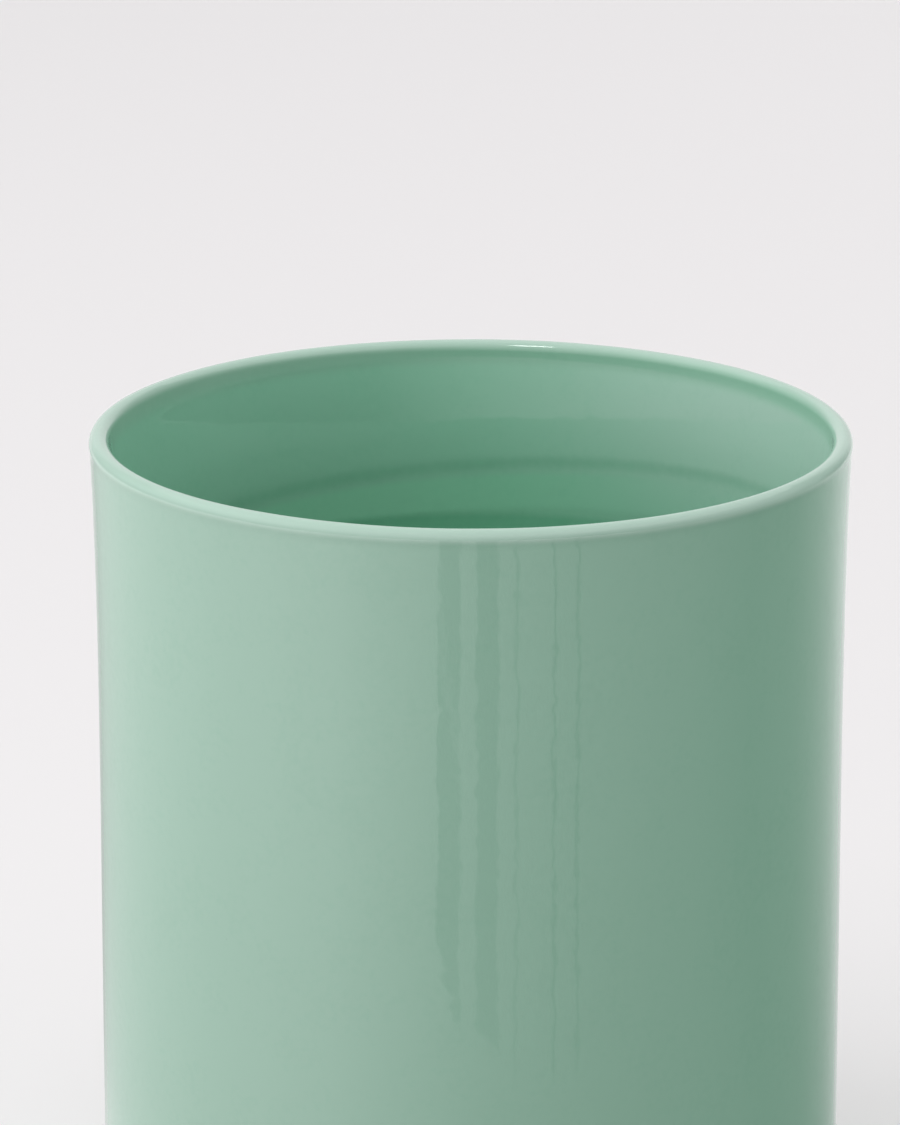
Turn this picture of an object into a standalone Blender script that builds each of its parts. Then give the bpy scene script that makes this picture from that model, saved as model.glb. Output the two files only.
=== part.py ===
"""A glazed ceramic brush pot: the fired clay body, the glaze coat that covers it inside and out, and the
glaze in the recess under its base. Metres, +Z up. The origin is the middle of the foot ring's resting face."""

import math

import bpy

# Driving dimensions
MOUTH_DIAMETER = 0.100  # over the lip, the widest place
HEIGHT = 0.130
LIP_THICKNESS = 0.0026  # across the rounded lip, glaze included
FLARE = 0.00103  # how far the lip stands out from the straight wall
FLARE_DEPTH = 0.0178  # the flare dies away below the lip, by a factor of e in this depth

# The mouth is bevelled inside, steeply at first and then gently, down to the straight bore
BEVEL_ANGLE = 10.7  # degrees from upright
BEVEL_DEPTH = 0.017  # below the lip
EASE_ANGLE = 3.0  # degrees from upright
EASE_DEPTH = 0.0235  # below the lip

FLOOR_TOP = 0.0075  # height of the glazed floor inside
FLOOR_CORNER = 0.005  # radius where the inner wall meets the floor
HEEL_RADIUS = 0.0045  # radius where the outer wall turns in to the foot
HEEL_SWEEP = 68  # degrees of that turn
GLAZE_LINE = 0.0016  # height at which the outer glaze ends

FOOT_OUTER = 0.0455  # radii of the foot ring's resting face
FOOT_INNER = 0.0410
FOOT_EASE = 0.0003  # the ring's edges are sponged round
RECESS_HEIGHT = 0.0026  # from the resting face to the glazed ceiling of the recess
RECESS_CORNER = 0.0012  # radius where that ceiling turns down to the foot ring
RECESS_EDGE = 15  # degrees above level at which the recess glaze ends

GLAZE_THICKNESS = 0.00035
GLAZE_GAP = 0.0001  # clear gap between the glaze and the clay that carries it
CLAY_INSET = GLAZE_THICKNESS + GLAZE_GAP

TURN_STEPS = 60
LIP_STEPS = 4  # on each side of the crest
CORNER_STEPS = 4
FOOT_EASE_STEPS = 2
WALL_STEPS = 6
MERGE_DISTANCE = 0.000005

# Finishes: colours as linear values, and roughness
MINT_GLAZE = (0.33, 0.56, 0.44, 1.0)
GLAZE_ROUGHNESS = 0.15
BARE_CLAY = (0.72, 0.66, 0.56, 1.0)
CLAY_ROUGHNESS = 0.8


def outer_radius(z):
    """The glazed outer wall: straight, with a small flare that fades away below the lip."""
    return MOUTH_DIAMETER / 2 - FLARE * (1 - math.exp((z - HEIGHT) / FLARE_DEPTH))


def arc(centre, radius, start, end, steps):
    """Points on an arc in the X-Z plane, with angles in degrees from +X towards +Z."""
    angles = [math.radians(start + (end - start) * i / steps) for i in range(steps + 1)]
    return [(centre[0] + radius * math.cos(a), centre[1] + radius * math.sin(a)) for a in angles]


def wall_heights(low, high):
    """Heights up a wall, closer together towards the lip, where the wall curves."""
    shares = [1 - (1 - i / WALL_STEPS) ** 2 for i in range(WALL_STEPS + 1)]
    return [low + (high - low) * share for share in shares]


def down_slope(start, z, angle):
    """The point at height z on a line that leads down and inwards from start, at this angle from upright."""
    return start[0] - (start[1] - z) * math.tan(math.radians(angle)), z


def inset_outline(outline, inset):
    """The outline moved by inset to the right of its direction of travel. Its ends stay on their own normals."""
    moved = []
    last = len(outline) - 1
    for i, (x, z) in enumerate(outline):
        before = outline[max(i - 1, 0)]
        after = outline[min(i + 1, last)]
        run, rise = after[0] - before[0], after[1] - before[1]
        length = math.hypot(run, rise)
        moved.append((x + inset * rise / length, z - inset * run / length))
    return moved


def glazed_face():
    """The pot's glazed surface, from the middle of the inner floor, over the lip, to the glaze line."""
    lip_radius = LIP_THICKNESS / 2
    lip_base = HEIGHT - lip_radius
    lip_middle = outer_radius(HEIGHT) - lip_radius
    lip_centre = (lip_middle, lip_base)
    lip = arc(lip_centre, lip_radius, 180 - BEVEL_ANGLE, 90, LIP_STEPS)
    lip += arc(lip_centre, lip_radius, 90, 0, LIP_STEPS)[1:]

    bevel_foot = down_slope(lip[0], HEIGHT - BEVEL_DEPTH, BEVEL_ANGLE)
    ease_foot = down_slope(bevel_foot, HEIGHT - EASE_DEPTH, EASE_ANGLE)
    inner_wall = [ease_foot, bevel_foot]

    corner_middle = (ease_foot[0] - FLOOR_CORNER, FLOOR_TOP + FLOOR_CORNER)
    corner = arc(corner_middle, FLOOR_CORNER, -90, 0, CORNER_STEPS)
    floor = [(0.0, FLOOR_TOP)]

    heel_top = GLAZE_LINE + HEEL_RADIUS * math.sin(math.radians(HEEL_SWEEP))
    heel_middle = (outer_radius(0) - HEEL_RADIUS, heel_top)
    outer_wall = [(outer_radius(z), z) for z in reversed(wall_heights(heel_top, lip_base)[1:-1])]
    heel = arc(heel_middle, HEEL_RADIUS, 0, -HEEL_SWEEP, CORNER_STEPS)
    return floor + corner + inner_wall + lip + outer_wall + heel


def recess_face():
    """The glazed ceiling of the recess under the base, from its middle to its edge in the corner of the foot."""
    corner_middle = (FOOT_INNER - CLAY_INSET - RECESS_CORNER, RECESS_HEIGHT - RECESS_CORNER)
    corner = arc(corner_middle, RECESS_CORNER, 90, RECESS_EDGE, CORNER_STEPS)
    return [(0.0, RECESS_HEIGHT)] + corner


def clay_outline():
    """The clay body's half section: under the glaze, round the bare foot ring and along the recess."""
    foot_ring = (
        arc((FOOT_OUTER - FOOT_EASE, FOOT_EASE), FOOT_EASE, 0, -90, FOOT_EASE_STEPS)
        + arc((FOOT_INNER + FOOT_EASE, FOOT_EASE), FOOT_EASE, -90, -180, FOOT_EASE_STEPS)
    )
    recess = inset_outline(recess_face(), -CLAY_INSET)
    return inset_outline(glazed_face(), CLAY_INSET) + foot_ring + recess[::-1]


def glaze_coat_outline():
    """The glaze coat's half section: out along the glazed face, and back along the face that grips the clay."""
    return glazed_face() + inset_outline(glazed_face(), GLAZE_THICKNESS)[::-1]


def recess_glaze_outline():
    """The recess glaze's half section: out along the face that grips the clay, and back along the seen face."""
    return inset_outline(recess_face(), -GLAZE_THICKNESS) + recess_face()[::-1]


def make_material(name, colour, roughness):
    material = bpy.data.materials.new(name)
    material.use_nodes = True
    shader = material.node_tree.nodes["Principled BSDF"]
    shader.inputs["Base Color"].default_value = colour
    shader.inputs["Roughness"].default_value = roughness
    shader.inputs["Metallic"].default_value = 0.0
    material.diffuse_color = colour
    return material


def turn(name, outline, material, collection):
    """Turns a half section round the Z axis, as a pot is turned on its wheel."""
    mesh = bpy.data.meshes.new(name)
    edges = [(i, i + 1) for i in range(len(outline) - 1)]
    mesh.from_pydata([(x, 0.0, z) for x, z in outline], edges, [])
    mesh.materials.append(material)
    piece = bpy.data.objects.new(name, mesh)
    collection.objects.link(piece)
    screw = piece.modifiers.new("turned", "SCREW")
    screw.axis = "Z"
    screw.angle = math.tau
    screw.steps = TURN_STEPS
    screw.render_steps = TURN_STEPS
    screw.use_merge_vertices = True
    screw.merge_threshold = MERGE_DISTANCE
    screw.use_smooth_shade = True
    return piece


def main():
    for old in list(bpy.data.objects):
        bpy.data.objects.remove(old)
    pot = bpy.data.collections.new("brush_pot")
    bpy.context.scene.collection.children.link(pot)
    glaze = make_material("mint_glaze", MINT_GLAZE, GLAZE_ROUGHNESS)
    clay = make_material("bare_clay", BARE_CLAY, CLAY_ROUGHNESS)
    turn("clay_body", clay_outline(), clay, pot)
    turn("glaze_coat", glaze_coat_outline(), glaze, pot)
    turn("recess_glaze", recess_glaze_outline(), glaze, pot)


main()
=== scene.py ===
# %% [markdown]
# # A glazed brush pot
#
# The pot is one piece of fired clay under two coats of mint green glaze: one that covers the inside, the
# lip and the outside, and one in the recess under the base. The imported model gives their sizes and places
# as plain, faceted solids. This lesson turns each of them afresh as a fine mesh, glazes them with node
# materials and lights them on a table.

# %% Load the frame
import math

import bpy
import numpy as np
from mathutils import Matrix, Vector


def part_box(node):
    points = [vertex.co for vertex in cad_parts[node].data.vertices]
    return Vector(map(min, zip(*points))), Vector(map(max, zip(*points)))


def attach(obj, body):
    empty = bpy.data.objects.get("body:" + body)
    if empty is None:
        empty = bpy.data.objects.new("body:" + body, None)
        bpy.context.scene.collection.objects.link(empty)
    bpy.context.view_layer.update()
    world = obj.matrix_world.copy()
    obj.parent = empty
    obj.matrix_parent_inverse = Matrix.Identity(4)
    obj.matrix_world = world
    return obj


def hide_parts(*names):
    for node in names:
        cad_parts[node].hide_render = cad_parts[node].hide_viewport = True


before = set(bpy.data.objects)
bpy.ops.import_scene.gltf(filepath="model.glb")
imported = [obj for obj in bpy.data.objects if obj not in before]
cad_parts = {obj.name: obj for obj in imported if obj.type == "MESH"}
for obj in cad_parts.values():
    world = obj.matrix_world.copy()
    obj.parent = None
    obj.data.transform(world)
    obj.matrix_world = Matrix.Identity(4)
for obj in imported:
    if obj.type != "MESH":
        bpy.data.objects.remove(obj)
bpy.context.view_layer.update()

# %% [markdown]
# ## Sizes
#
# The big sizes come from the frame, so the fine meshes always fit the solids that they stand for. The
# small ones, such as the lip's thickness, repeat those that the solids were made with. Only the bevel
# differs a little: here it is slightly hollow, where the solid has a plain cone.

# %% Sizes, in metres
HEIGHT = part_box("glaze_coat")[1].z
MOUTH_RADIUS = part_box("glaze_coat")[1].x
GLAZE_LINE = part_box("glaze_coat")[0].z  # where the outer glaze ends

LIP_RADIUS = 0.00130  # of the rounded lip's section
FLARE = 0.00103
FLARE_DEPTH = 0.0178

BEVEL_ANGLE = 10.4  # the mouth is bevelled inside: degrees from upright, halfway down the bevel
BEVEL_DEPTH = 0.017
EASE_ANGLE = 3.0
EASE_DEPTH = 0.0235

FLOOR_TOP = 0.0075
FLOOR_CORNER = 0.005
HEEL_RADIUS = 0.0045
HEEL_SWEEP = 68  # degrees of the turn from the wall in to the foot

FOOT_OUTER = 0.0455  # radii of the foot ring's resting face
FOOT_INNER = 0.0410
FOOT_EASE = 0.0003  # the ring's edges are sponged round
RECESS_HEIGHT = 0.0026
RECESS_CORNER = 0.0012
RECESS_EDGE = 15  # degrees above level at which the recess glaze ends

GLAZE_THICKNESS = 0.00035
GLAZE_GAP = 0.0001  # clear gap between the glaze and the clay that carries it
CLAY_INSET = GLAZE_THICKNESS + GLAZE_GAP

TURN_STEPS = 256
print("mouth", round(2000 * MOUTH_RADIUS, 2), "mm across, height", round(1000 * HEIGHT, 2), "mm")

# %% [markdown]
# ## Drawing a half section
#
# A pot is a solid of revolution, so each piece starts as a half section in the X-Z plane. A section could
# be a curve object, but a chain of vertices keeps control over how closely the rings lie: close together
# round the lip, wide apart on the straight wall. The functions below walk along the section and return
# its points.

# %% Walking along the section
def outer_radius(z):
    """The outer wall: straight, with a small flare that fades away below the lip."""
    return MOUTH_RADIUS - FLARE * (1 - math.exp((z - HEIGHT) / FLARE_DEPTH))


def arc(centre, radius, start, end, steps):
    """Points on an arc, with angles in degrees from +X towards +Z."""
    angles = [math.radians(start + (end - start) * i / steps) for i in range(steps + 1)]
    return [(centre[0] + radius * math.cos(a), centre[1] + radius * math.sin(a)) for a in angles]


def offset(section, distance):
    """The section moved to the right of its direction of travel."""
    moved = []
    for i, (x, z) in enumerate(section):
        before, after = section[max(i - 1, 0)], section[min(i + 1, len(section) - 1)]
        run, rise = after[0] - before[0], after[1] - before[1]
        length = math.hypot(run, rise)
        moved.append((x + distance * rise / length, z - distance * run / length))
    return moved


def thin_out(section, step):
    """The section with only its first and last points and one point in every few between them."""
    return [section[0]] + section[1:-1:step] + [section[-1]]


# %% [markdown]
# ## The inside of the mouth
#
# The maker pared the inside of the mouth to a bevel with a knife, which thins the wall to a fine lip.
# Under the lip a short band stays nearly upright. The bevel below it is slightly hollow: steep at first,
# and gentler lower down. It ends in a soft ridge with a shallow groove under it, and a fainter ridge lies
# a little lower. They are easiest to give as the wall's slope at each depth. The section then walks down
# the slope in small steps.

# %% The bevel and its ridges
SLOPES = (  # depth below the lip in metres, and slope in degrees from upright
    (0.0013, 5.0),
    (0.0023, 8.0),
    (0.0034, 19.5),
    (0.0046, 18.0),
    (0.0061, 15.2),
    (0.0085, 12.2),
    (0.0104, BEVEL_ANGLE),
    (0.0125, 7.5),
    (BEVEL_DEPTH - 0.0020, 5.5),
    (BEVEL_DEPTH - 0.0008, 0.5),
    (BEVEL_DEPTH, 0.5),
    (BEVEL_DEPTH + 0.0012, EASE_ANGLE + 0.6),
    (EASE_DEPTH - 0.0012, EASE_ANGLE + 0.6),
    (EASE_DEPTH - 0.0002, -4.0),
    (EASE_DEPTH + 0.0010, -1.5),
    (EASE_DEPTH + 0.0020, 0.0),
)
SHORT_STEP = 0.00035
LONG_STEP = 0.0011
BENDS_LITTLE = (0.0045, BEVEL_DEPTH - 0.0030)  # depths between which long steps will do
MOUTH_END = EASE_DEPTH + 0.0060


def mouth_wall(start):
    """Points from the lip's inner edge down over both ridges, closer together where the wall bends."""
    depths, slopes = zip(*SLOPES)
    points = [start]
    while HEIGHT - points[-1][1] < MOUTH_END:
        x, z = points[-1]
        depth = HEIGHT - z
        step = LONG_STEP if BENDS_LITTLE[0] < depth < BENDS_LITTLE[1] else SHORT_STEP
        slope = np.interp(depth + step / 2, depths, slopes)
        points.append((x - step * math.tan(math.radians(slope)), z - step))
    return points


print("the mouth's wall is given by its slope at", len(SLOPES), "depths")

# %% [markdown]
# ## The whole glazed face
#
# From the middle of the inner floor the section runs out to the corner, up the bore, over the ridges and
# the lip, and down the outside to the heel. A turned floor is never quite flat, so it keeps a few faint
# rings.

# %% The glazed face
LIP_STEPS = 14  # on each side of the crest
CORNER_STEPS = 10
HEEL_STEPS = 12
WALL_STEP = 0.0011
WALL_FIRST_STEP = 0.0004  # from the lip's outer edge
BORE_STEP = 0.0016
FLOOR_RINGS = 26

FLOOR_RIPPLE_HEIGHT = 0.00005
FLOOR_RIPPLE_LENGTH = 0.0011
BORE_RIPPLE_HEIGHT = 0.00003
BORE_RIPPLE_LENGTH = 0.0013
BORE_RIPPLE_DRIFT = 0.011  # the rings lie closer and wider apart over this length


def floor_ripple(x, reach):
    """The faint rings that the turning leaves on the floor. They fade towards its edge."""
    return FLOOR_RIPPLE_HEIGHT * (1 - x / reach) * (math.cos(x / FLOOR_RIPPLE_LENGTH) - 1)


def bore_ripple(z, low, high):
    """The faint rings on the bore's wall."""
    share = (z - low) / (high - low)
    drift = 2 * math.sin(z / BORE_RIPPLE_DRIFT)
    return BORE_RIPPLE_HEIGHT * math.sin(math.pi * share) * math.sin(z / BORE_RIPPLE_LENGTH + drift)


def rounded_lip():
    """The lip, from its inner edge over the crest to its outer edge."""
    centre = (MOUTH_RADIUS - LIP_RADIUS, HEIGHT - LIP_RADIUS)
    inner_half = arc(centre, LIP_RADIUS, 180 - SLOPES[0][1], 90, LIP_STEPS)
    outer_half = arc(centre, LIP_RADIUS, 90, 0, LIP_STEPS)
    return inner_half + outer_half[1:]


def floor_and_bore(bore_radius, bore_top):
    """The inner floor from its middle, its corner, and the straight bore up to the lower ridge."""
    corner_top = FLOOR_TOP + FLOOR_CORNER
    corner = arc((bore_radius - FLOOR_CORNER, corner_top), FLOOR_CORNER, -90, 0, CORNER_STEPS)
    reach = corner[0][0]
    across = [reach * i / FLOOR_RINGS for i in range(FLOOR_RINGS)]
    floor = [(x, FLOOR_TOP + floor_ripple(x, reach)) for x in across]
    heights = np.arange(corner_top + BORE_STEP, bore_top, BORE_STEP)
    bore = [(bore_radius + bore_ripple(z, corner_top, bore_top), float(z)) for z in heights]
    return floor + corner + bore


def wall_and_heel(top):
    """The outer wall down from the lip, and the heel in to the line where the glaze ends."""
    heel_top = GLAZE_LINE + HEEL_RADIUS * math.sin(math.radians(HEEL_SWEEP))
    heights = np.arange(top - WALL_FIRST_STEP, heel_top, -WALL_STEP)
    wall = [(outer_radius(z), float(z)) for z in heights]
    heel = arc((outer_radius(0) - HEEL_RADIUS, heel_top), HEEL_RADIUS, 0, -HEEL_SWEEP, HEEL_STEPS)
    return wall + heel


def glazed_face():
    lip = rounded_lip()
    mouth = mouth_wall(lip[0])[::-1]
    return floor_and_bore(*mouth[0]) + mouth[:-1] + lip + wall_and_heel(HEIGHT - LIP_RADIUS)


face = glazed_face()
print("glazed face:", len(face), "points, bore radius",
      round(1000 * min(x for x, z in face if 0.03 < z < 0.1), 2), "mm")

# %% [markdown]
# ## Turning a section on the Z axis
#
# By hand this is four steps in edit mode: merge a plane to one vertex, extrude that vertex along the
# section, spin the chain round the Z axis, and merge the doubles at the seam and on the axis. The normals
# are recalculated after the merge, so that every face points outwards.

# %% Selecting, and the lathe
START_SIZE = 0.001  # of the plane that is merged to the first vertex
MERGE_DISTANCE = 0.000002


def deselect_everything():
    if bpy.context.object and bpy.context.object.mode != "OBJECT":
        bpy.ops.object.mode_set(mode="OBJECT")
    bpy.ops.object.select_all(action="DESELECT")


def turn(name, section):
    """A new piece: the section is drawn vertex by vertex and spun round the Z axis."""
    deselect_everything()
    x, z = section[0]
    bpy.ops.mesh.primitive_plane_add(size=START_SIZE, location=(x, 0, z))
    piece = bpy.context.object
    piece.name = piece.data.name = name
    bpy.ops.object.transform_apply(location=True)
    bpy.ops.object.mode_set(mode="EDIT")
    bpy.ops.mesh.merge(type="CENTER")
    for (x0, z0), (x1, z1) in zip(section, section[1:]):
        bpy.ops.mesh.extrude_region_move(TRANSFORM_OT_translate={"value": (x1 - x0, 0, z1 - z0)})
    bpy.ops.mesh.select_all(action="SELECT")
    bpy.ops.mesh.spin(steps=TURN_STEPS, angle=math.tau, center=(0, 0, 0), axis=(0, 0, 1))
    bpy.ops.mesh.select_all(action="SELECT")
    bpy.ops.mesh.remove_doubles(threshold=MERGE_DISTANCE)
    bpy.ops.mesh.normals_make_consistent(inside=False)
    bpy.ops.object.mode_set(mode="OBJECT")
    bpy.ops.object.shade_smooth()
    print(name, "turned:", len(section), "rings,", len(piece.data.polygons), "faces")
    return piece


def apply_modifiers(piece):
    deselect_everything()
    piece.select_set(True)
    bpy.context.view_layer.objects.active = piece
    for modifier in list(piece.modifiers):
        bpy.ops.object.modifier_apply(modifier=modifier.name)


# %% [markdown]
# ## The glaze coat
#
# Where the glaze stops above the foot, it draws back into a rounded bead as it melts. The seen face of
# the coat ends in that bead, and the section comes back along the face that grips the clay. Nobody sees
# that face, so it needs few rings.

# %% Turn the glaze coat
BEAD_RADIUS = 0.00021
BEAD_STEPS = 6
GRIP_FACE_THINNING = 4  # of the seen face's rings, the hidden face has one in this many


def rolled_edge(section):
    """The bead at the end of the seen face, which rounds in to the face that grips the clay."""
    (x0, z0), (x1, z1) = section[-2:]
    heading = math.degrees(math.atan2(z1 - z0, x1 - x0))
    inward = math.radians(heading - 90)
    centre = (x1 + BEAD_RADIUS * math.cos(inward), z1 + BEAD_RADIUS * math.sin(inward))
    return arc(centre, BEAD_RADIUS, heading + 90, heading - 70, BEAD_STEPS)[1:]


grip_face = thin_out(offset(face, GLAZE_THICKNESS), GRIP_FACE_THINNING)[::-1]
glaze_coat = turn("mint_glaze_coat", face + rolled_edge(face) + grip_face)

# %% [markdown]
# ## The clay body
#
# The clay lies under the glaze almost everywhere, so its section is the glazed face moved inwards. Only
# the foot ring is drawn afresh, as it is the one place where bare clay shows. It is a narrow flat ring
# with sponged edges. The recess inside it has a level ceiling and a rounded corner. One section all the
# way round keeps the clay one closed piece.

# %% Turn the clay body
FOOT_EASE_STEPS = 6
RECESS_RINGS = 14
CLAY_THINNING = 3  # of the glazed face's rings, the clay under it has one in this many

foot_ring = arc((FOOT_OUTER - FOOT_EASE, FOOT_EASE), FOOT_EASE, 0, -90, FOOT_EASE_STEPS)
foot_ring += arc((FOOT_INNER + FOOT_EASE, FOOT_EASE), FOOT_EASE, -90, -180, FOOT_EASE_STEPS)
recess_corner_centre = (FOOT_INNER - CLAY_INSET - RECESS_CORNER, RECESS_HEIGHT - RECESS_CORNER)
recess_face = [(recess_corner_centre[0] * i / RECESS_RINGS, RECESS_HEIGHT) for i in range(RECESS_RINGS)]
recess_face += arc(recess_corner_centre, RECESS_CORNER, 90, RECESS_EDGE, CORNER_STEPS)
under_glaze = thin_out(offset(face, CLAY_INSET), CLAY_THINNING)
over_recess = offset(recess_face, -CLAY_INSET)[::-1]
clay_body = turn("clay_body_bare_foot", under_glaze + foot_ring + over_recess)

# %% [markdown]
# ## The glaze in the recess
#
# The recess was glazed apart from the rest, and the bare foot ring parts the two coats. It is a thin disc
# with a turned-down edge. The same recess face as the clay's is used again, so that the coat follows the
# clay exactly.

# %% Turn the recess glaze
recess_glaze = turn("recess_glaze_coat", offset(recess_face, -GLAZE_THICKNESS) + recess_face[::-1])

# %% [markdown]
# ## Out of true
#
# The bevel was cut by hand, a little off the bore's centre, so its ridge isn't level: it lies deeper on
# one side. Moving one side of a ring by hand would kink the wall. A lattice moves whole slices of the
# wall together, and a vertex group keeps it off the outside of the pot.

# %% Set the bore off centre with a lattice
BORE_SHIFT = 0.0005
RIDGE_TILT = math.tan(math.radians(3.5))
SLICES = ((0, 0), (1, 1), (1, 0.35), (1, 0))  # shift and tilt of each slice, from the lip's edge down
LATTICE_DROP = 0.001  # from the lip to the lattice's top
LATTICE_WIDTH = 0.1
SLICE_STEP = BEVEL_DEPTH - LATTICE_DROP
FOOT_HEIGHT = 0.0055  # below this nothing moves
SKIN_DEPTH = 0.0012  # what lies less deep than this below the outer wall doesn't move


def inner_side(piece):
    """A vertex group of what lies on the inner side of the wall."""
    group = piece.vertex_groups.new(name="inner_side")
    inside = [
        vertex.index for vertex in piece.data.vertices
        if vertex.co.z > FOOT_HEIGHT and vertex.co.xy.length < outer_radius(vertex.co.z) - SKIN_DEPTH
    ]
    group.add(inside, 1.0, "REPLACE")
    return group.name


def make_lattice():
    deselect_everything()
    top = HEIGHT - LATTICE_DROP
    depth = SLICE_STEP * (len(SLICES) - 1)
    bpy.ops.object.add(type="LATTICE", location=(0, 0, top - depth / 2))
    lattice = bpy.context.object
    lattice.scale = (LATTICE_WIDTH, LATTICE_WIDTH, depth)
    data = lattice.data
    data.points_u, data.points_v, data.points_w = 2, 2, len(SLICES)
    data.interpolation_type_u = data.interpolation_type_v = data.interpolation_type_w = "KEY_LINEAR"
    for point in data.points:
        place = point.co
        slice_number = round((0.5 - place.z) * (len(SLICES) - 1))
        shift, tilt = SLICES[slice_number]
        side = place.x * lattice.scale.x
        x = place.x + shift * BORE_SHIFT / lattice.scale.x
        z = place.z + tilt * RIDGE_TILT * side / lattice.scale.z
        point.co_deform = (x, place.y, z)
    return lattice


def set_off_centre(piece, lattice):
    modifier = piece.modifiers.new("off_centre", "LATTICE")
    modifier.object = lattice
    modifier.vertex_group = inner_side(piece)
    apply_modifiers(piece)
    piece.vertex_groups.clear()


lattice = make_lattice()
bpy.context.view_layer.update()
for piece in (glaze_coat, clay_body):
    set_off_centre(piece, lattice)
bpy.data.objects.remove(lattice)
print("glaze coat box:", [round(1000 * side, 2) for side in glaze_coat.dimensions], "mm")

# %% [markdown]
# ## The glaze's own waves
#
# Molten glaze sets with a faint waviness that shows only in reflections, which wobble along their edges.
# Two Displace modifiers move the surface by hundredths of a millimetre: one in broad swells, one in short
# waves.

# %% Waves in the glaze
def wave(piece, name, size, height):
    texture = bpy.data.textures.new(name, "CLOUDS")
    texture.noise_scale = size
    texture.noise_depth = 1
    modifier = piece.modifiers.new(name, "DISPLACE")
    modifier.texture = texture
    modifier.texture_coords = "LOCAL"
    modifier.mid_level = 0.5
    modifier.strength = height


wave(glaze_coat, "broad_swell", size=0.030, height=0.00010)
wave(glaze_coat, "short_waves", size=0.007, height=0.000022)
wave(recess_glaze, "short_waves", size=0.006, height=0.00003)
apply_modifiers(glaze_coat)
apply_modifiers(recess_glaze)
print("waved glaze coat:", [round(1000 * side, 3) for side in glaze_coat.dimensions], "mm")

# %% [markdown]
# ## A small language for shaders
#
# Node graphs written link by link are hard to read. This class wraps a socket, so that an expression such
# as `1 - mask * 0.5` adds its own Math nodes, and one method adds any other node.

# %% Shader sockets as values
class Value:
    """A socket of a node tree. Arithmetic on it adds Math nodes."""

    def __init__(self, tree, socket):
        self.tree, self.socket = tree, socket

    def node(self, kind, settings=None, out=0, **inputs):
        """Adds a node and returns an output. Inputs are named with _ for a space, or numbered as _0."""
        made = self.tree.nodes.new(kind)
        for name, value in (settings or {}).items():
            if name == "stops":
                set_stops(made.color_ramp, value)
            else:
                setattr(made, name, value)
        for name, value in inputs.items():
            key = int(name[1:]) if name[1:].isdigit() else name.replace("_", " ")
            if isinstance(value, Value):
                self.tree.links.new(value.socket, made.inputs[key])
            else:
                made.inputs[key].default_value = value
        return Value(self.tree, made.outputs[out])

    def math(self, operation, *values):
        numbered = {f"_{i}": value for i, value in enumerate(values)}
        return self.node("ShaderNodeMath", {"operation": operation}, **numbered)

    def __add__(self, other):
        return self.math("ADD", self, other)

    def __radd__(self, other):
        return self.math("ADD", other, self)

    def __sub__(self, other):
        return self.math("SUBTRACT", self, other)

    def __rsub__(self, other):
        return self.math("SUBTRACT", other, self)

    def __mul__(self, other):
        return self.math("MULTIPLY", self, other)

    def __rmul__(self, other):
        return self.math("MULTIPLY", other, self)

    def __truediv__(self, other):
        return self.math("DIVIDE", self, other)

    def __pow__(self, other):
        return self.math("POWER", self, other)

    def between(self, low, high):
        """0 below low, 1 above high, and smooth between them. With low above high it runs the other way."""
        settings = {"interpolation_type": "SMOOTHSTEP"}
        if low > high:
            return 1 - self.between(high, low)
        return self.node("ShaderNodeMapRange", settings, Value=self, From_Min=low, From_Max=high)


def set_stops(ramp, stops):
    """Gives a colour ramp these stops, each a place from 0 to 1 and a colour."""
    while len(ramp.elements) < len(stops):
        ramp.elements.new(1.0)
    for element, (place, colour) in zip(ramp.elements, stops):
        element.position = place
        element.color = colour


def new_material(name):
    """A material, its Principled BSDF, and Object coordinates as a value."""
    material = bpy.data.materials.new(name)
    material.use_nodes = True
    tree = material.node_tree
    shader = tree.nodes["Principled BSDF"]
    place = Value(tree, tree.nodes.new("ShaderNodeTexCoord").outputs["Object"])
    return material, shader, place


def feed(value, shader, name):
    """Links a value to one of a shader's inputs."""
    value.tree.links.new(value.socket, shader.inputs[name])


def blend_colours(share, first, second):
    """A Mix node of two colours, each a tuple or a value."""
    return share.node("ShaderNodeMix", {"data_type": "RGBA"}, out=2, _0=share, _6=first, _7=second)


def noise(place, scale, detail=2.0):
    """Soft noise from 0 to 1, with this many cells to the metre."""
    return place.node("ShaderNodeTexNoise", Vector=place, Scale=scale, Detail=detail)


print("shader values ready")

# %% [markdown]
# ## The mint glaze
#
# The colour of a glaze depends on how thick it lies. It runs off sharp places and pools in corners as it
# melts: it is pale and milky over the lip, deepest in the grooves and in the corner of the floor. An
# image painted by hand could show this, but the places follow from the pot's shape. So the material works
# out from where a point lies how thick the glaze is, and blends pale, full and deep greens by it. Two
# paler patches are painted light instead: a painted sheen on the left outside, and painted light on the
# upper right inner wall. The bore below the lower ridge is darker. Fine mottling, tiny dark specks of iron
# and an orange-peel texture break up the rest.

# %% Mint glaze
THIN_GREEN = (0.45, 0.63, 0.535, 1)
MINT_GREEN = (0.241, 0.478, 0.345, 1)
MINT_PAINTED_SHEEN_GREEN = (0.287, 0.480, 0.374, 1)  # painted sheen: paler on the left side, where the window on the left mirrors in the glaze
INNER_GREEN = (0.213, 0.465, 0.330, 1)  # the glaze lies thicker inside, so it is a purer green
INNER_PAINTED_LIGHT_GREEN = (0.320, 0.500, 0.410, 1)  # painted light: the upper right inner wall is paler, as the window on the left lights it
BORE_GREEN = (0.208, 0.502, 0.336, 1)  # below the bevel, apart from the right side, where the painted light lies
DEEP_GREEN = (0.045, 0.30, 0.155, 1)
SPECK_BROWN = (0.10, 0.12, 0.08, 1)

GLAZE_ROUGHNESS = 0.045
GLAZE_IOR = 1.5
PEEL_DEPTH = 0.000012

SPECK_CELL = 0.010
SPECK_RADIUS = 0.00022
SPECK_CHANCE = 0.86  # a cell whose chance is over this holds a speck, which is about one in seven
SPECK_STRENGTH = 0.8


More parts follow.
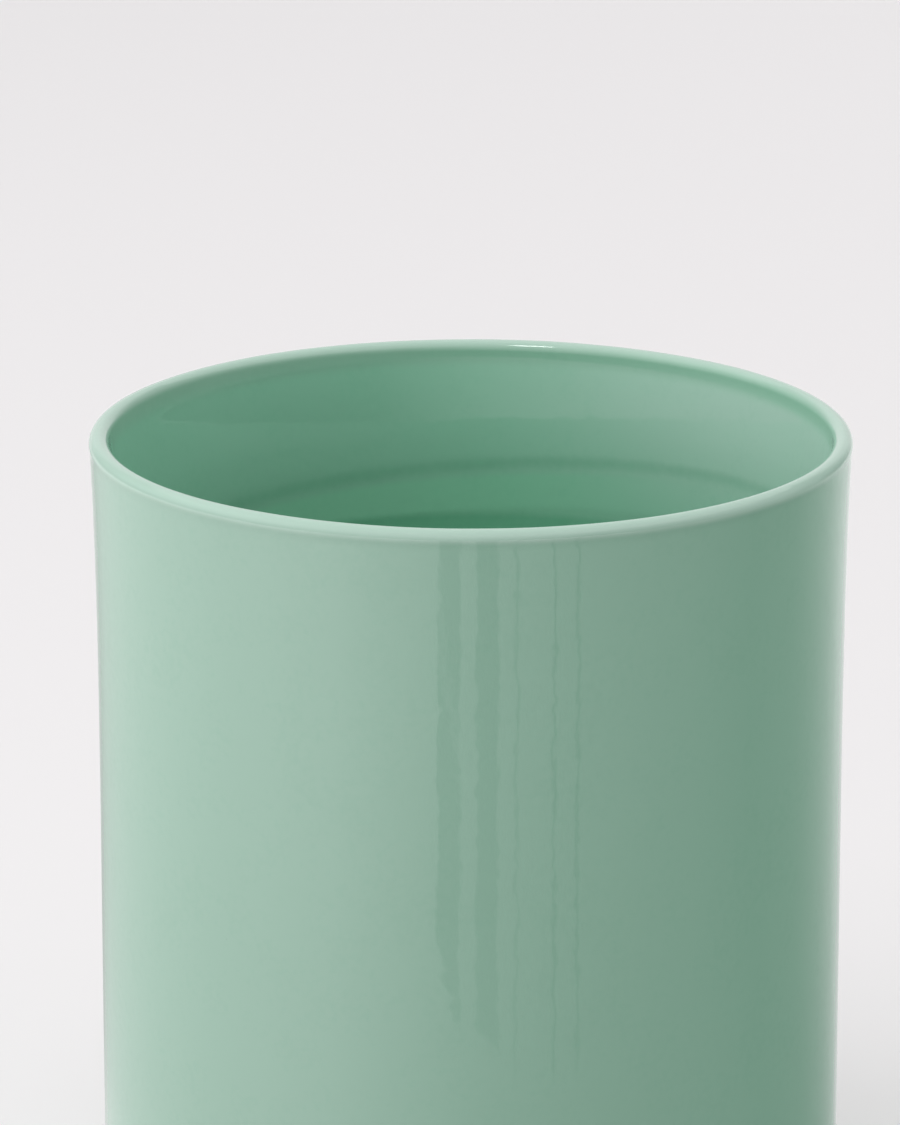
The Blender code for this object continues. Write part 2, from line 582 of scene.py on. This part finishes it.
def pot_position(place):
    """Place across, height, distance from the axis, and height over the tilted ridge's plane."""
    x, y, z = (place.node("ShaderNodeSeparateXYZ", out=i, Vector=place) for i in range(3))
    radius = (x * x + y * y) ** 0.5
    over_ridge = z - x * RIDGE_TILT
    return x, z, radius, over_ridge


def line_at(height, middle, half_width):
    """A soft line: 1 in the middle, 0 past half_width."""
    return height.math("ABSOLUTE", height - middle).between(half_width, 0.0)


def glaze_specks(place):
    """1 in a few tiny round specks, 0 elsewhere."""
    settings = {"feature": "F1"}
    scale = 1 / SPECK_CELL
    distance = place.node("ShaderNodeTexVoronoi", settings, out="Distance", Vector=place, Scale=scale)
    cell = place.node("ShaderNodeTexVoronoi", settings, out="Color", Vector=place, Scale=scale)
    chance = place.node("ShaderNodeSeparateColor", out=0, Color=cell)
    size = place.node("ShaderNodeSeparateColor", out=1, Color=cell)
    reach = (0.5 + size * 0.8) * (SPECK_RADIUS * scale)
    inside = (distance / reach).between(1.0, 0.55)
    return inside * chance.math("GREATER_THAN", chance, SPECK_CHANCE)


def pooling_and_dark_bore(z, radius, over_ridge, inside):
    """How deep the glaze has pooled in the groove, the floor's corner and at the heel, and how much darker
    the bore is below the lower ridge.
    """
    in_groove = line_at(over_ridge, HEIGHT - BEVEL_DEPTH + 0.0004, 0.0014) * 0.16
    # The whole bore below the lower ridge is darker.
    lower_still = z.between(HEIGHT - EASE_DEPTH + 0.0008, HEIGHT - EASE_DEPTH - 0.0006) * 0.36
    in_corner = z.between(FLOOR_TOP + 0.0045, FLOOR_TOP) * radius.between(0.034, 0.042) * 0.7
    at_heel = z.between(0.0055, GLAZE_LINE) * (1 - inside) * 0.5
    return inside * (in_groove + lower_still + in_corner) + at_heel


def full_green(x, z, over_ridge, inside):
    """The green of an even coat, with two patches of painted light: paler on the left outside and on the
    upper right inside.
    """
    # Painted light: the upper right inner wall is paler, as the window on the left lights it.
    lit_right_inner_wall = x.between(-0.005, 0.040) * z.between(HEIGHT - 0.030, HEIGHT - 0.006)
    # Painted sheen: the left outside is paler, as the window on the left mirrors there.
    outside_colour = blend_colours(x.between(-0.045, 0.035), MINT_PAINTED_SHEEN_GREEN, MINT_GREEN)
    inside_colour = blend_colours(lit_right_inner_wall, INNER_GREEN, INNER_PAINTED_LIGHT_GREEN)
    colour = blend_colours(inside, outside_colour, inside_colour)
    below_bevel = over_ridge.between(HEIGHT - BEVEL_DEPTH - 0.0006, HEIGHT - BEVEL_DEPTH - 0.0018)
    return blend_colours(inside * below_bevel * x.between(0.032, 0.0), colour, BORE_GREEN)


def lip_share(place, z, radius):
    """1 on the lip, where the glaze ran thin. Its edge wanders, and lies a little higher inside."""
    past_crest = radius.between(MOUTH_RADIUS - 0.0014, MOUTH_RADIUS - 0.0020)
    edge_height = z + noise(place, 55.0) * 0.0004 - past_crest * 0.0006
    return edge_height.between(HEIGHT - 0.0018, HEIGHT - 0.0004)


def glaze_coat_material():
    material, shader, place = new_material("mint_glaze_gloss")
    x, z, radius, over_ridge = pot_position(place)
    inside = radius.between(MOUTH_RADIUS - 0.0023, MOUTH_RADIUS - 0.0031)
    mottle = (noise(place, 900.0, 3.0) - 0.5) * 0.16 + (noise(place, 120.0) - 0.5) * 0.14

    colour = full_green(x, z, over_ridge, inside)
    colour = blend_colours(pooling_and_dark_bore(z, radius, over_ridge, inside) + mottle, colour, DEEP_GREEN)
    colour = blend_colours(lip_share(place, z, radius), colour, THIN_GREEN)
    colour = blend_colours(glaze_specks(place) * SPECK_STRENGTH, colour, SPECK_BROWN)
    feed(colour, shader, "Base Color")
    feed(GLAZE_ROUGHNESS + (noise(place, 300.0) - 0.5) * 0.03, shader, "Roughness")

    peel = noise(place, 700.0, 1.0) * 0.7 + noise(place, 350.0, 1.0) * 1.5 + noise(place, 160.0, 1.0)
    bump = place.node("ShaderNodeBump", Strength=1.0, Distance=PEEL_DEPTH, Height=peel)
    feed(bump, shader, "Normal")
    shader.inputs["IOR"].default_value = GLAZE_IOR
    return material


mint_glaze = glaze_coat_material()
print("mint glaze:", len(mint_glaze.node_tree.nodes), "nodes")

# %% [markdown]
# ## The bare clay
#
# The foot ring was wiped clean of glaze. Fired clay there is dry and a little rough, with fine dark
# grains, and it toasts to a warmer tone in a thin line where the glaze ends. Two noises make the grains
# and the patches, and the height over the foot gives the toasted line.

# %% Bare clay
PALE_CLAY = (0.72, 0.66, 0.56, 1)
DEEP_CLAY = (0.55, 0.47, 0.37, 1)
TOASTED_CLAY = (0.48, 0.30, 0.17, 1)
CLAY_ROUGHNESS = 0.8
GRAIN_DEPTH = 0.00004
TOASTED_HEIGHTS = (0.0007, 0.0013)  # between these heights the clay turns from pale to toasted


def bare_clay_material():
    material, shader, place = new_material("bare_clay_fired")
    z = pot_position(place)[1]
    fine_noise = noise(place, 2600.0, 3.0)
    grain = fine_noise.between(0.35, 0.7)
    patches = noise(place, 90.0, 3.0).between(0.35, 0.7)
    near_glaze = (z + (noise(place, 400.0, 3.0) - 0.5) * 0.0006).between(*TOASTED_HEIGHTS)
    colour = blend_colours(grain * 0.5 + patches * 0.35, PALE_CLAY, DEEP_CLAY)
    colour = blend_colours(near_glaze * 0.7, colour, TOASTED_CLAY)
    feed(colour, shader, "Base Color")
    feed(CLAY_ROUGHNESS + (grain - 0.5) * 0.15, shader, "Roughness")
    height = fine_noise + noise(place, 700.0, 3.0) * 1.5
    bump = place.node("ShaderNodeBump", Strength=1.0, Distance=GRAIN_DEPTH, Height=height)
    feed(bump, shader, "Normal")
    return material


bare_clay = bare_clay_material()
print("bare clay:", len(bare_clay.node_tree.nodes), "nodes")

# %% [markdown]
# ## Dressing the pieces and tying them to the frame
#
# Both coats are the same glaze, and the clay body has its own finish. Each fine piece then takes the
# place of one plain solid of the frame. Nothing on the pot moves, so all three ride on the same body.

# %% Dress the pieces
for piece, material in ((glaze_coat, mint_glaze), (recess_glaze, mint_glaze), (clay_body, bare_clay)):
    piece.data.materials.clear()
    piece.data.materials.append(material)
    print(piece.name, "is dressed in", material.name)

# %% Tie the pieces to the frame
for piece, node, slot in (
    (glaze_coat, "glaze_coat", "mint_glaze"),
    (clay_body, "clay_body", "bare_clay"),
    (recess_glaze, "recess_glaze", "mint_glaze"),
):
    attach(piece, "root")
    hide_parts(node)
    print(piece.name, "stands for", node)

# %% [markdown]
# ## The table
#
# A pot shows its gloss by what it mirrors. Seen from a little above, its wall mirrors the table round it,
# so the table decides how the wall looks. The table itself is plain and pale. It carries the windows'
# sheen, which only reflections see: that is a thin sheet laid over the table, hidden from the camera and
# from soft light.

# %% Table
TABLE_COLOUR = (0.875, 0.860, 0.867, 1)
DEEP_TABLE_COLOUR = (0.845, 0.830, 0.837, 1)
FRONT_BOUNCE = (0.30, 0.30, 0.30, 1)  # the front's colour to soft light, so that it throws less back
FRONT_SHARE = 0.85
FRONT_EDGE = (0.06, -0.04)  # the front begins softly between these two places in Y
TABLE_SIZE = (12, 12)
TABLE_GAP = 0.0001  # the table lies this much below the foot, so that the two faces don't coincide
TABLE_ROUGHNESS = 0.8


def add_plane(name, size, location, rotation=(0, 0, 0)):
    """A flat sheet that belongs to the stage and not to the pot."""
    deselect_everything()
    bpy.ops.mesh.primitive_plane_add(size=1, location=location, rotation=rotation)
    plane = bpy.context.object
    plane.name = plane.data.name = name
    plane.scale = (size[0], size[1], 1)
    bpy.ops.object.transform_apply(location=True, rotation=True, scale=True)
    return plane


def table_paint_material():
    material, shader, place = new_material("table_paint")
    front = place.node("ShaderNodeSeparateXYZ", out=1, Vector=place).between(*FRONT_EDGE)
    bounced = place.node("ShaderNodeLightPath", out="Is Diffuse Ray")
    fleck = noise(place, 60.0, 3.0) - 0.5
    shade = blend_colours(fleck * 0.04 + 0.5, TABLE_COLOUR, DEEP_TABLE_COLOUR)
    feed(blend_colours(bounced * front * FRONT_SHARE, shade, FRONT_BOUNCE), shader, "Base Color")
    shader.inputs["Roughness"].default_value = TABLE_ROUGHNESS
    shader.inputs["Specular IOR Level"].default_value = 0.0
    return material


table = add_plane("table", TABLE_SIZE, (0, 0, -TABLE_GAP))
table.data.materials.append(table_paint_material())
print("table", TABLE_SIZE[0], "m wide,", 1000 * TABLE_GAP, "mm below the foot")

# %% [markdown]
# ## Things that only reflections see
#
# Each of them is a glowing sheet that the camera, soft light and shadows pass by. An ordinary lamp would
# light the pot as well, so what the glaze mirrors could not be set apart from how it is lit. The glow is
# even, or follows a table of levels round the pot.

# %% Glowing sheets
MOST = 5.0  # a colour ramp holds 0 to 1, so levels are divided by this, and multiplied by it afterwards


def only_in_reflections(thing):
    thing.visible_camera = False
    thing.visible_diffuse = False
    thing.visible_shadow = False
    thing.visible_transmission = False
    thing.visible_volume_scatter = False


def glowing(name, strength):
    """An emission material of one brightness, or of a brightness that changes from place to place."""
    material = bpy.data.materials.new(name)
    material.use_nodes = True
    tree = material.node_tree
    tree.nodes.clear()
    glow = tree.nodes.new("ShaderNodeEmission")
    out = tree.nodes.new("ShaderNodeOutputMaterial")
    tree.links.new(glow.outputs[0], out.inputs[0])
    if callable(strength):
        place = Value(tree, tree.nodes.new("ShaderNodeTexCoord").outputs["Object"])
        tree.links.new(strength(place).socket, glow.inputs["Color"])
    else:
        glow.inputs["Strength"].default_value = strength
    return material


def around_pot(place, levels):
    """A brightness that changes round the Z axis, from a table of angles and levels."""
    turned = place.node("ShaderNodeMapping", Vector=place, Rotation=(0, 0, math.radians(90)))
    share = place.node("ShaderNodeTexGradient", {"gradient_type": "RADIAL"}, out="Fac", Vector=turned)
    stops = [((angle + 180) / 360, (level / MOST,) * 3 + (1,)) for angle, level in levels]
    return share.node("ShaderNodeValToRGB", {"stops": stops}, Fac=share) * MOST


print("glowing sheets ready")

# %% The sheen on the table
# The sheen's brightness, by degrees from the front towards +X. A window on the left is brightest 50
# degrees round, and its sheen fades across the front. The right side is dark, and the back is dim.
SHEEN = (
    (-180, 0.75), (-155, 0.65), (-90, 2.5), (-60, 3.1), (-40, 3.1), (0, 1.9),
    (45, 1.45), (65, 1.15), (90, 0.55), (110, 0.5), (145, 0.9), (180, 0.75),
)
SHEEN_SIZE = (6, 6)
SHEEN_HEIGHT = 0.0004
SHEEN_NEAR = (0.15, 0.85)  # distance from the pot's axis, and share of the brightness there
SHEEN_FAR = (0.5, 1.18)


def sheen_strength(place):
    """The sheen's brightness, which also grows a little away from the pot."""
    distance = place.node("ShaderNodeVectorMath", {"operation": "LENGTH"}, out="Value", _0=place)
    outward = distance.node("ShaderNodeMapRange", Value=distance,
                            From_Min=SHEEN_NEAR[0], From_Max=SHEEN_FAR[0],
                            To_Min=SHEEN_NEAR[1], To_Max=SHEEN_FAR[1])
    return around_pot(place, SHEEN) * outward


sheen = add_plane("table_sheen", SHEEN_SIZE, (0, 0, SHEEN_HEIGHT))
sheen.data.materials.append(glowing("table_sheen_glow", sheen_strength))
only_in_reflections(sheen)
print("sheen given at", len(SHEEN), "places round the pot")

# %% [markdown]
# ## Dark cards
#
# Upright dark things on the table in front show in the glaze as dark streaks down the wall. Narrow cards
# stand in for them, and reflections alone see them. The streaks end where the cards stand on the table,
# so each card's distance sets how far its streak runs down. One of them stands slanting, and its streak
# tapers. It is made in three bands, the middle one paler, for the lighter gap in its streak.

# %% Cards in front of the pot
SLANTING = (-0.0273, -0.2497, 0.0500, 50)  # place on the table, width, and turn in degrees
BROAD = (0.0175, -0.2243, 0.0242, 25)
RODS = ((0.0450, -0.2068, 0.0030, 14), (0.0807, -0.1949, 0.0030, 25), (0.1047, -0.1886, 0.0030, 33))
CARD_FOOT = 0.001
CARD_TOP = 0.105
PALE_BAND = (0.0375, 0.0421)  # bottom and top edges
CARDS = (  # card, bottom and top edges, and brightness
    (SLANTING, CARD_FOOT, PALE_BAND[0], 1.32),
    (SLANTING, PALE_BAND[0], PALE_BAND[1], 1.70),
    (SLANTING, PALE_BAND[1], CARD_TOP, 1.35),
    (BROAD, CARD_FOOT, CARD_TOP, 1.22),
    (RODS[0], CARD_FOOT, CARD_TOP, 1.25),
    (RODS[1], CARD_FOOT, CARD_TOP, 1.00),
    (RODS[2], CARD_FOOT, CARD_TOP, 1.00),
)
for number, ((x, y, width, turned), bottom, top, level) in enumerate(CARDS, 1):
    card = add_plane(f"dark_card_{number}", (width, top - bottom), (x, y, (bottom + top) / 2),
                     (math.radians(90), 0, math.radians(turned)))
    card.data.materials.append(glowing(f"dark_card_{number}_tone", level))
    only_in_reflections(card)
print(len(CARDS), "dark cards stand in front")

# %% [markdown]
# ## Soft light
#
# Two softboxes on the left stand in for a broad window and give the largest share of the light. Others
# stand in front, on the right and behind, and the room adds a dim even light. Reflections don't see the
# softboxes, because the sheen, the cards and the room's walls are there for them.

# %% Softboxes
SOFTBOX_SIZE = (1.2, 0.9)
SOFTBOX_DISTANCE = 1.8
SOFTBOX_TARGET = Vector((0, 0, 0.09))


def add_softbox(name, azimuth, elevation, power):
    """A rectangular light that faces the pot. Azimuth 0 is the front, and runs towards +X."""
    across = math.radians(azimuth)
    up = math.radians(elevation)
    back = Vector((math.sin(across) * math.cos(up), -math.cos(across) * math.cos(up), math.sin(up)))
    data = bpy.data.lights.new(name, "AREA")
    data.shape = "RECTANGLE"
    data.size, data.size_y = SOFTBOX_SIZE
    data.energy = power
    light = bpy.data.objects.new(name, data)
    light.visible_glossy = False
    bpy.context.scene.collection.objects.link(light)
    light.location = SOFTBOX_TARGET + back * SOFTBOX_DISTANCE
    light.rotation_euler = back.to_track_quat("Z", "Y").to_euler()


SOFTBOXES = (  # azimuth, elevation and power in watts
    ("left_window_back", -112, 24, 10),
    ("left_window", -67, 27, 8.5),
    ("front_softbox", -22, 48, 10.5),
    ("front_right_softbox", 22, 48, 3),
    ("right_softbox", 112, 24, 9),
    ("back_softbox", 157, 24, 4),
)
for name, azimuth, elevation, power in SOFTBOXES:
    add_softbox(name, azimuth, elevation, power)
print(len(SOFTBOXES), "softboxes,", sum(box[3] for box in SOFTBOXES), "W in all")

# %% The room's even light
ROOM_LIGHT = 0.39
ROOM_SEEN = 0.42  # the backdrop is this much brighter to the camera
ROOM_MIRRORED = 0.55  # and this much brighter in reflections
ROOM_COLOUR = (1.0, 0.985, 0.99, 1)

world = bpy.data.worlds.new("pale_room")
bpy.context.scene.world = world
world.use_nodes = True
tree = world.node_tree
room = tree.nodes["Background"]
seen, mirrored = (Value(tree, tree.nodes.new("ShaderNodeLightPath").outputs[name])
                  for name in ("Is Camera Ray", "Is Glossy Ray"))
strength = ROOM_LIGHT + seen * ROOM_SEEN + mirrored * ROOM_MIRRORED
tree.links.new(strength.socket, room.inputs["Strength"])
room.inputs["Color"].default_value = ROOM_COLOUR
print("room light", ROOM_LIGHT)

# %% [markdown]
# ## The room's walls
#
# The bevel inside the mouth leans outwards, so it mirrors what stands low round the pot. A round wall
# stands there for reflections alone, pale in some places and dark in others.

# %% The room's walls
# The walls' brightness, by degrees from the front towards +X. The front left is pale, the right side is
# dark, and the back is pale again.
ROOM_WALLS = (
    (-180, 0.85), (-160, 0.8), (-145, 0.3), (-105, 0.4), (-60, 0.8), (-35, 0.9), (-12, 0.9),
    (2, 0.75), (12, 0.5), (28, 0.15), (40, 0.03), (140, 0.03), (158, 0.8), (180, 0.85),
)
ROOM_RADIUS = 1.6
ROOM_FOOT = 0.01
ROOM_TOP = 1.25
ROOM_SIDES = 96


def wall_brightness(place):
    return around_pot(place, ROOM_WALLS)


deselect_everything()
bpy.ops.mesh.primitive_cylinder_add(vertices=ROOM_SIDES, radius=ROOM_RADIUS, depth=ROOM_TOP - ROOM_FOOT,
                                    end_fill_type="NOTHING", location=(0, 0, (ROOM_TOP + ROOM_FOOT) / 2))
room_walls = bpy.context.object
room_walls.name = room_walls.data.name = "room_walls"
bpy.ops.object.transform_apply(location=True)
room_walls.data.materials.append(glowing("room_walls_glow", wall_brightness))
only_in_reflections(room_walls)
print("room walls given at", len(ROOM_WALLS), "places round the pot")

# %% [markdown]
# ## A lamp and a flag
#
# A small bright lamp high in front glints on the far lip, where the glaze turns over. It would glint on
# the near lip too, so a small flag as bright as the room hangs between them.

# %% Lamp and flag
LAMP_PLACE = Vector((-0.497, -0.841, 1.85))  # from the pot's mouth
LAMP_SIZE = (0.36, 0.22)
LAMP_GLOW = 25.0
FLAG_SIZE = (0.07, 0.07)
FLAG_PLACE = (-0.0350, -0.0940, HEIGHT + 0.1000)
FLAG_TONE = 0.94  # as bright as the room behind it
toward_pot = LAMP_PLACE.to_track_quat("Z", "Y").to_euler()
lamp = add_plane("overhead_lamp", LAMP_SIZE, LAMP_PLACE + Vector((0, 0, HEIGHT)), toward_pot)
lamp.data.materials.append(glowing("overhead_lamp_glow", LAMP_GLOW))
only_in_reflections(lamp)
flag = add_plane("lamp_flag", FLAG_SIZE, FLAG_PLACE, toward_pot)
flag.data.materials.append(glowing("lamp_flag_tone", FLAG_TONE))
only_in_reflections(flag)
print("lamp", round(LAMP_PLACE.length, 2), "m from the mouth")

# %% [markdown]
# ## Camera
#
# A long lens about a metre away looks down a little, so that the mouth shows as a wide ellipse and the
# wall below it stays nearly upright.

# %% Camera
AIM = Vector((-0.00275, 0, 0.112))
CAMERA_PLACE = Vector((0, -1.0203, 0.3982))
LENS = 257.9  # millimetres
SENSOR_WIDTH = 36
NEAREST = 0.05  # metres, and nothing nearer is drawn
camera_data = bpy.data.cameras.new("camera")
camera_data.lens = LENS
camera_data.sensor_width = SENSOR_WIDTH
camera_data.clip_start = NEAREST
camera = bpy.data.objects.new("camera", camera_data)
bpy.context.scene.collection.objects.link(camera)
camera.location = CAMERA_PLACE
camera.rotation_mode = "QUATERNION"
camera.rotation_quaternion = (AIM - CAMERA_PLACE).to_track_quat("-Z", "Y")
bpy.context.scene.camera = camera
bpy.context.scene.view_settings.view_transform = "Standard"
print("camera", round((AIM - CAMERA_PLACE).length, 3), "m from its aim")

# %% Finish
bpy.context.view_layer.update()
deselect_everything()
